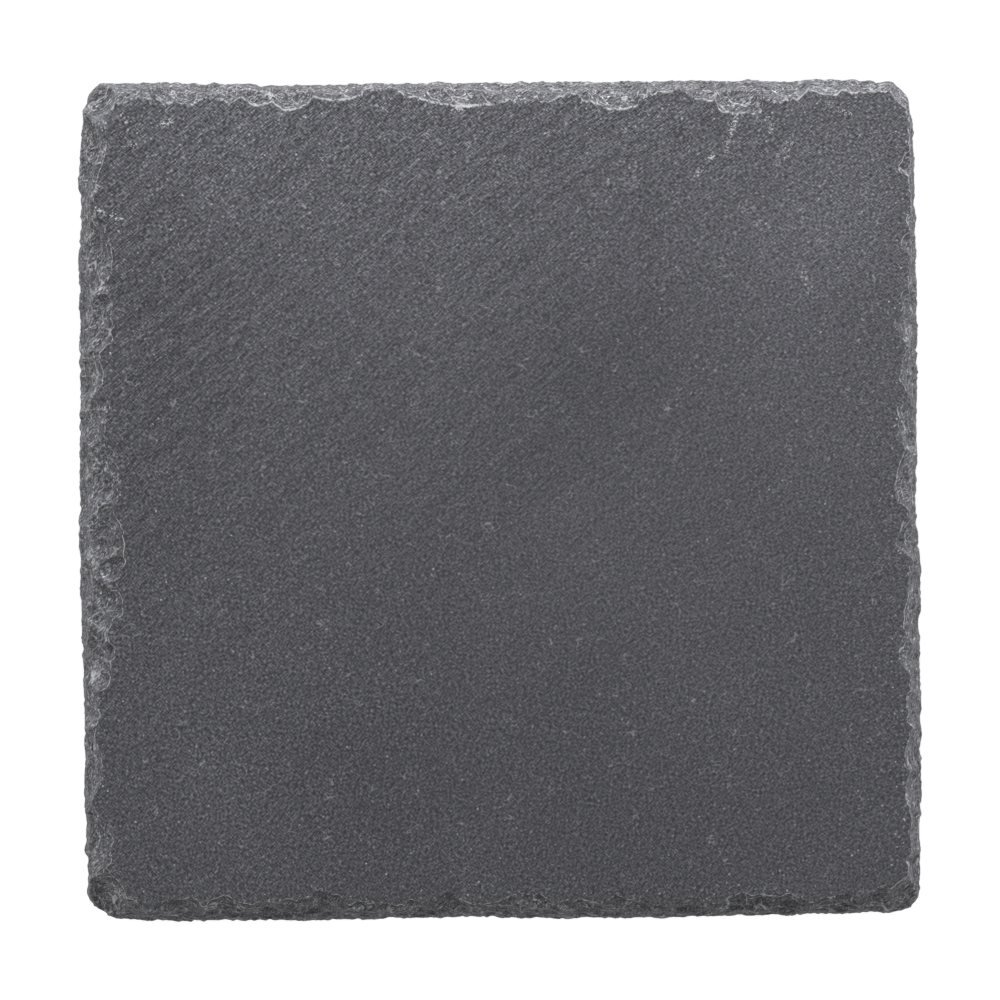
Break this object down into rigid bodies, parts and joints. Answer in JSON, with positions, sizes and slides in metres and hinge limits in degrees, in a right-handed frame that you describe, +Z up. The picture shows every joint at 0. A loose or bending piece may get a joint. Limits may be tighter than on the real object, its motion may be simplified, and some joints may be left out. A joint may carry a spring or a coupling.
{
  "type": "slate slab",
  "caption": "Flat square slab of natural slate with hand-flaked edges and a riven, rippled face, standing on soft round pads bonded under its corners, as a hard working surface.",
  "frame": {"origin": "middle of the slab's outline, on the surface that the four pads stand on", "axes": "+Z up out of the working face, +Y towards the rear edge, +X to the right"},
  "size_m": [0.101, 0.1008, 0.0067],
  "materials": {
    "slate": "riven matte",
    "pad_rubber": "matte",
    "transfer_tape": "satin"
  },
  "bodies": {
    "root": {"slate_slab": "slate", "foot_pad_front_left": "pad_rubber", "foot_pad_front_right": "pad_rubber", "foot_pad_rear_left": "pad_rubber", "foot_pad_rear_right": "pad_rubber", "pad_adhesive_front_left": "transfer_tape", "pad_adhesive_front_right": "transfer_tape", "pad_adhesive_rear_left": "transfer_tape", "pad_adhesive_rear_right": "transfer_tape"}
  },
  "joints": []
}
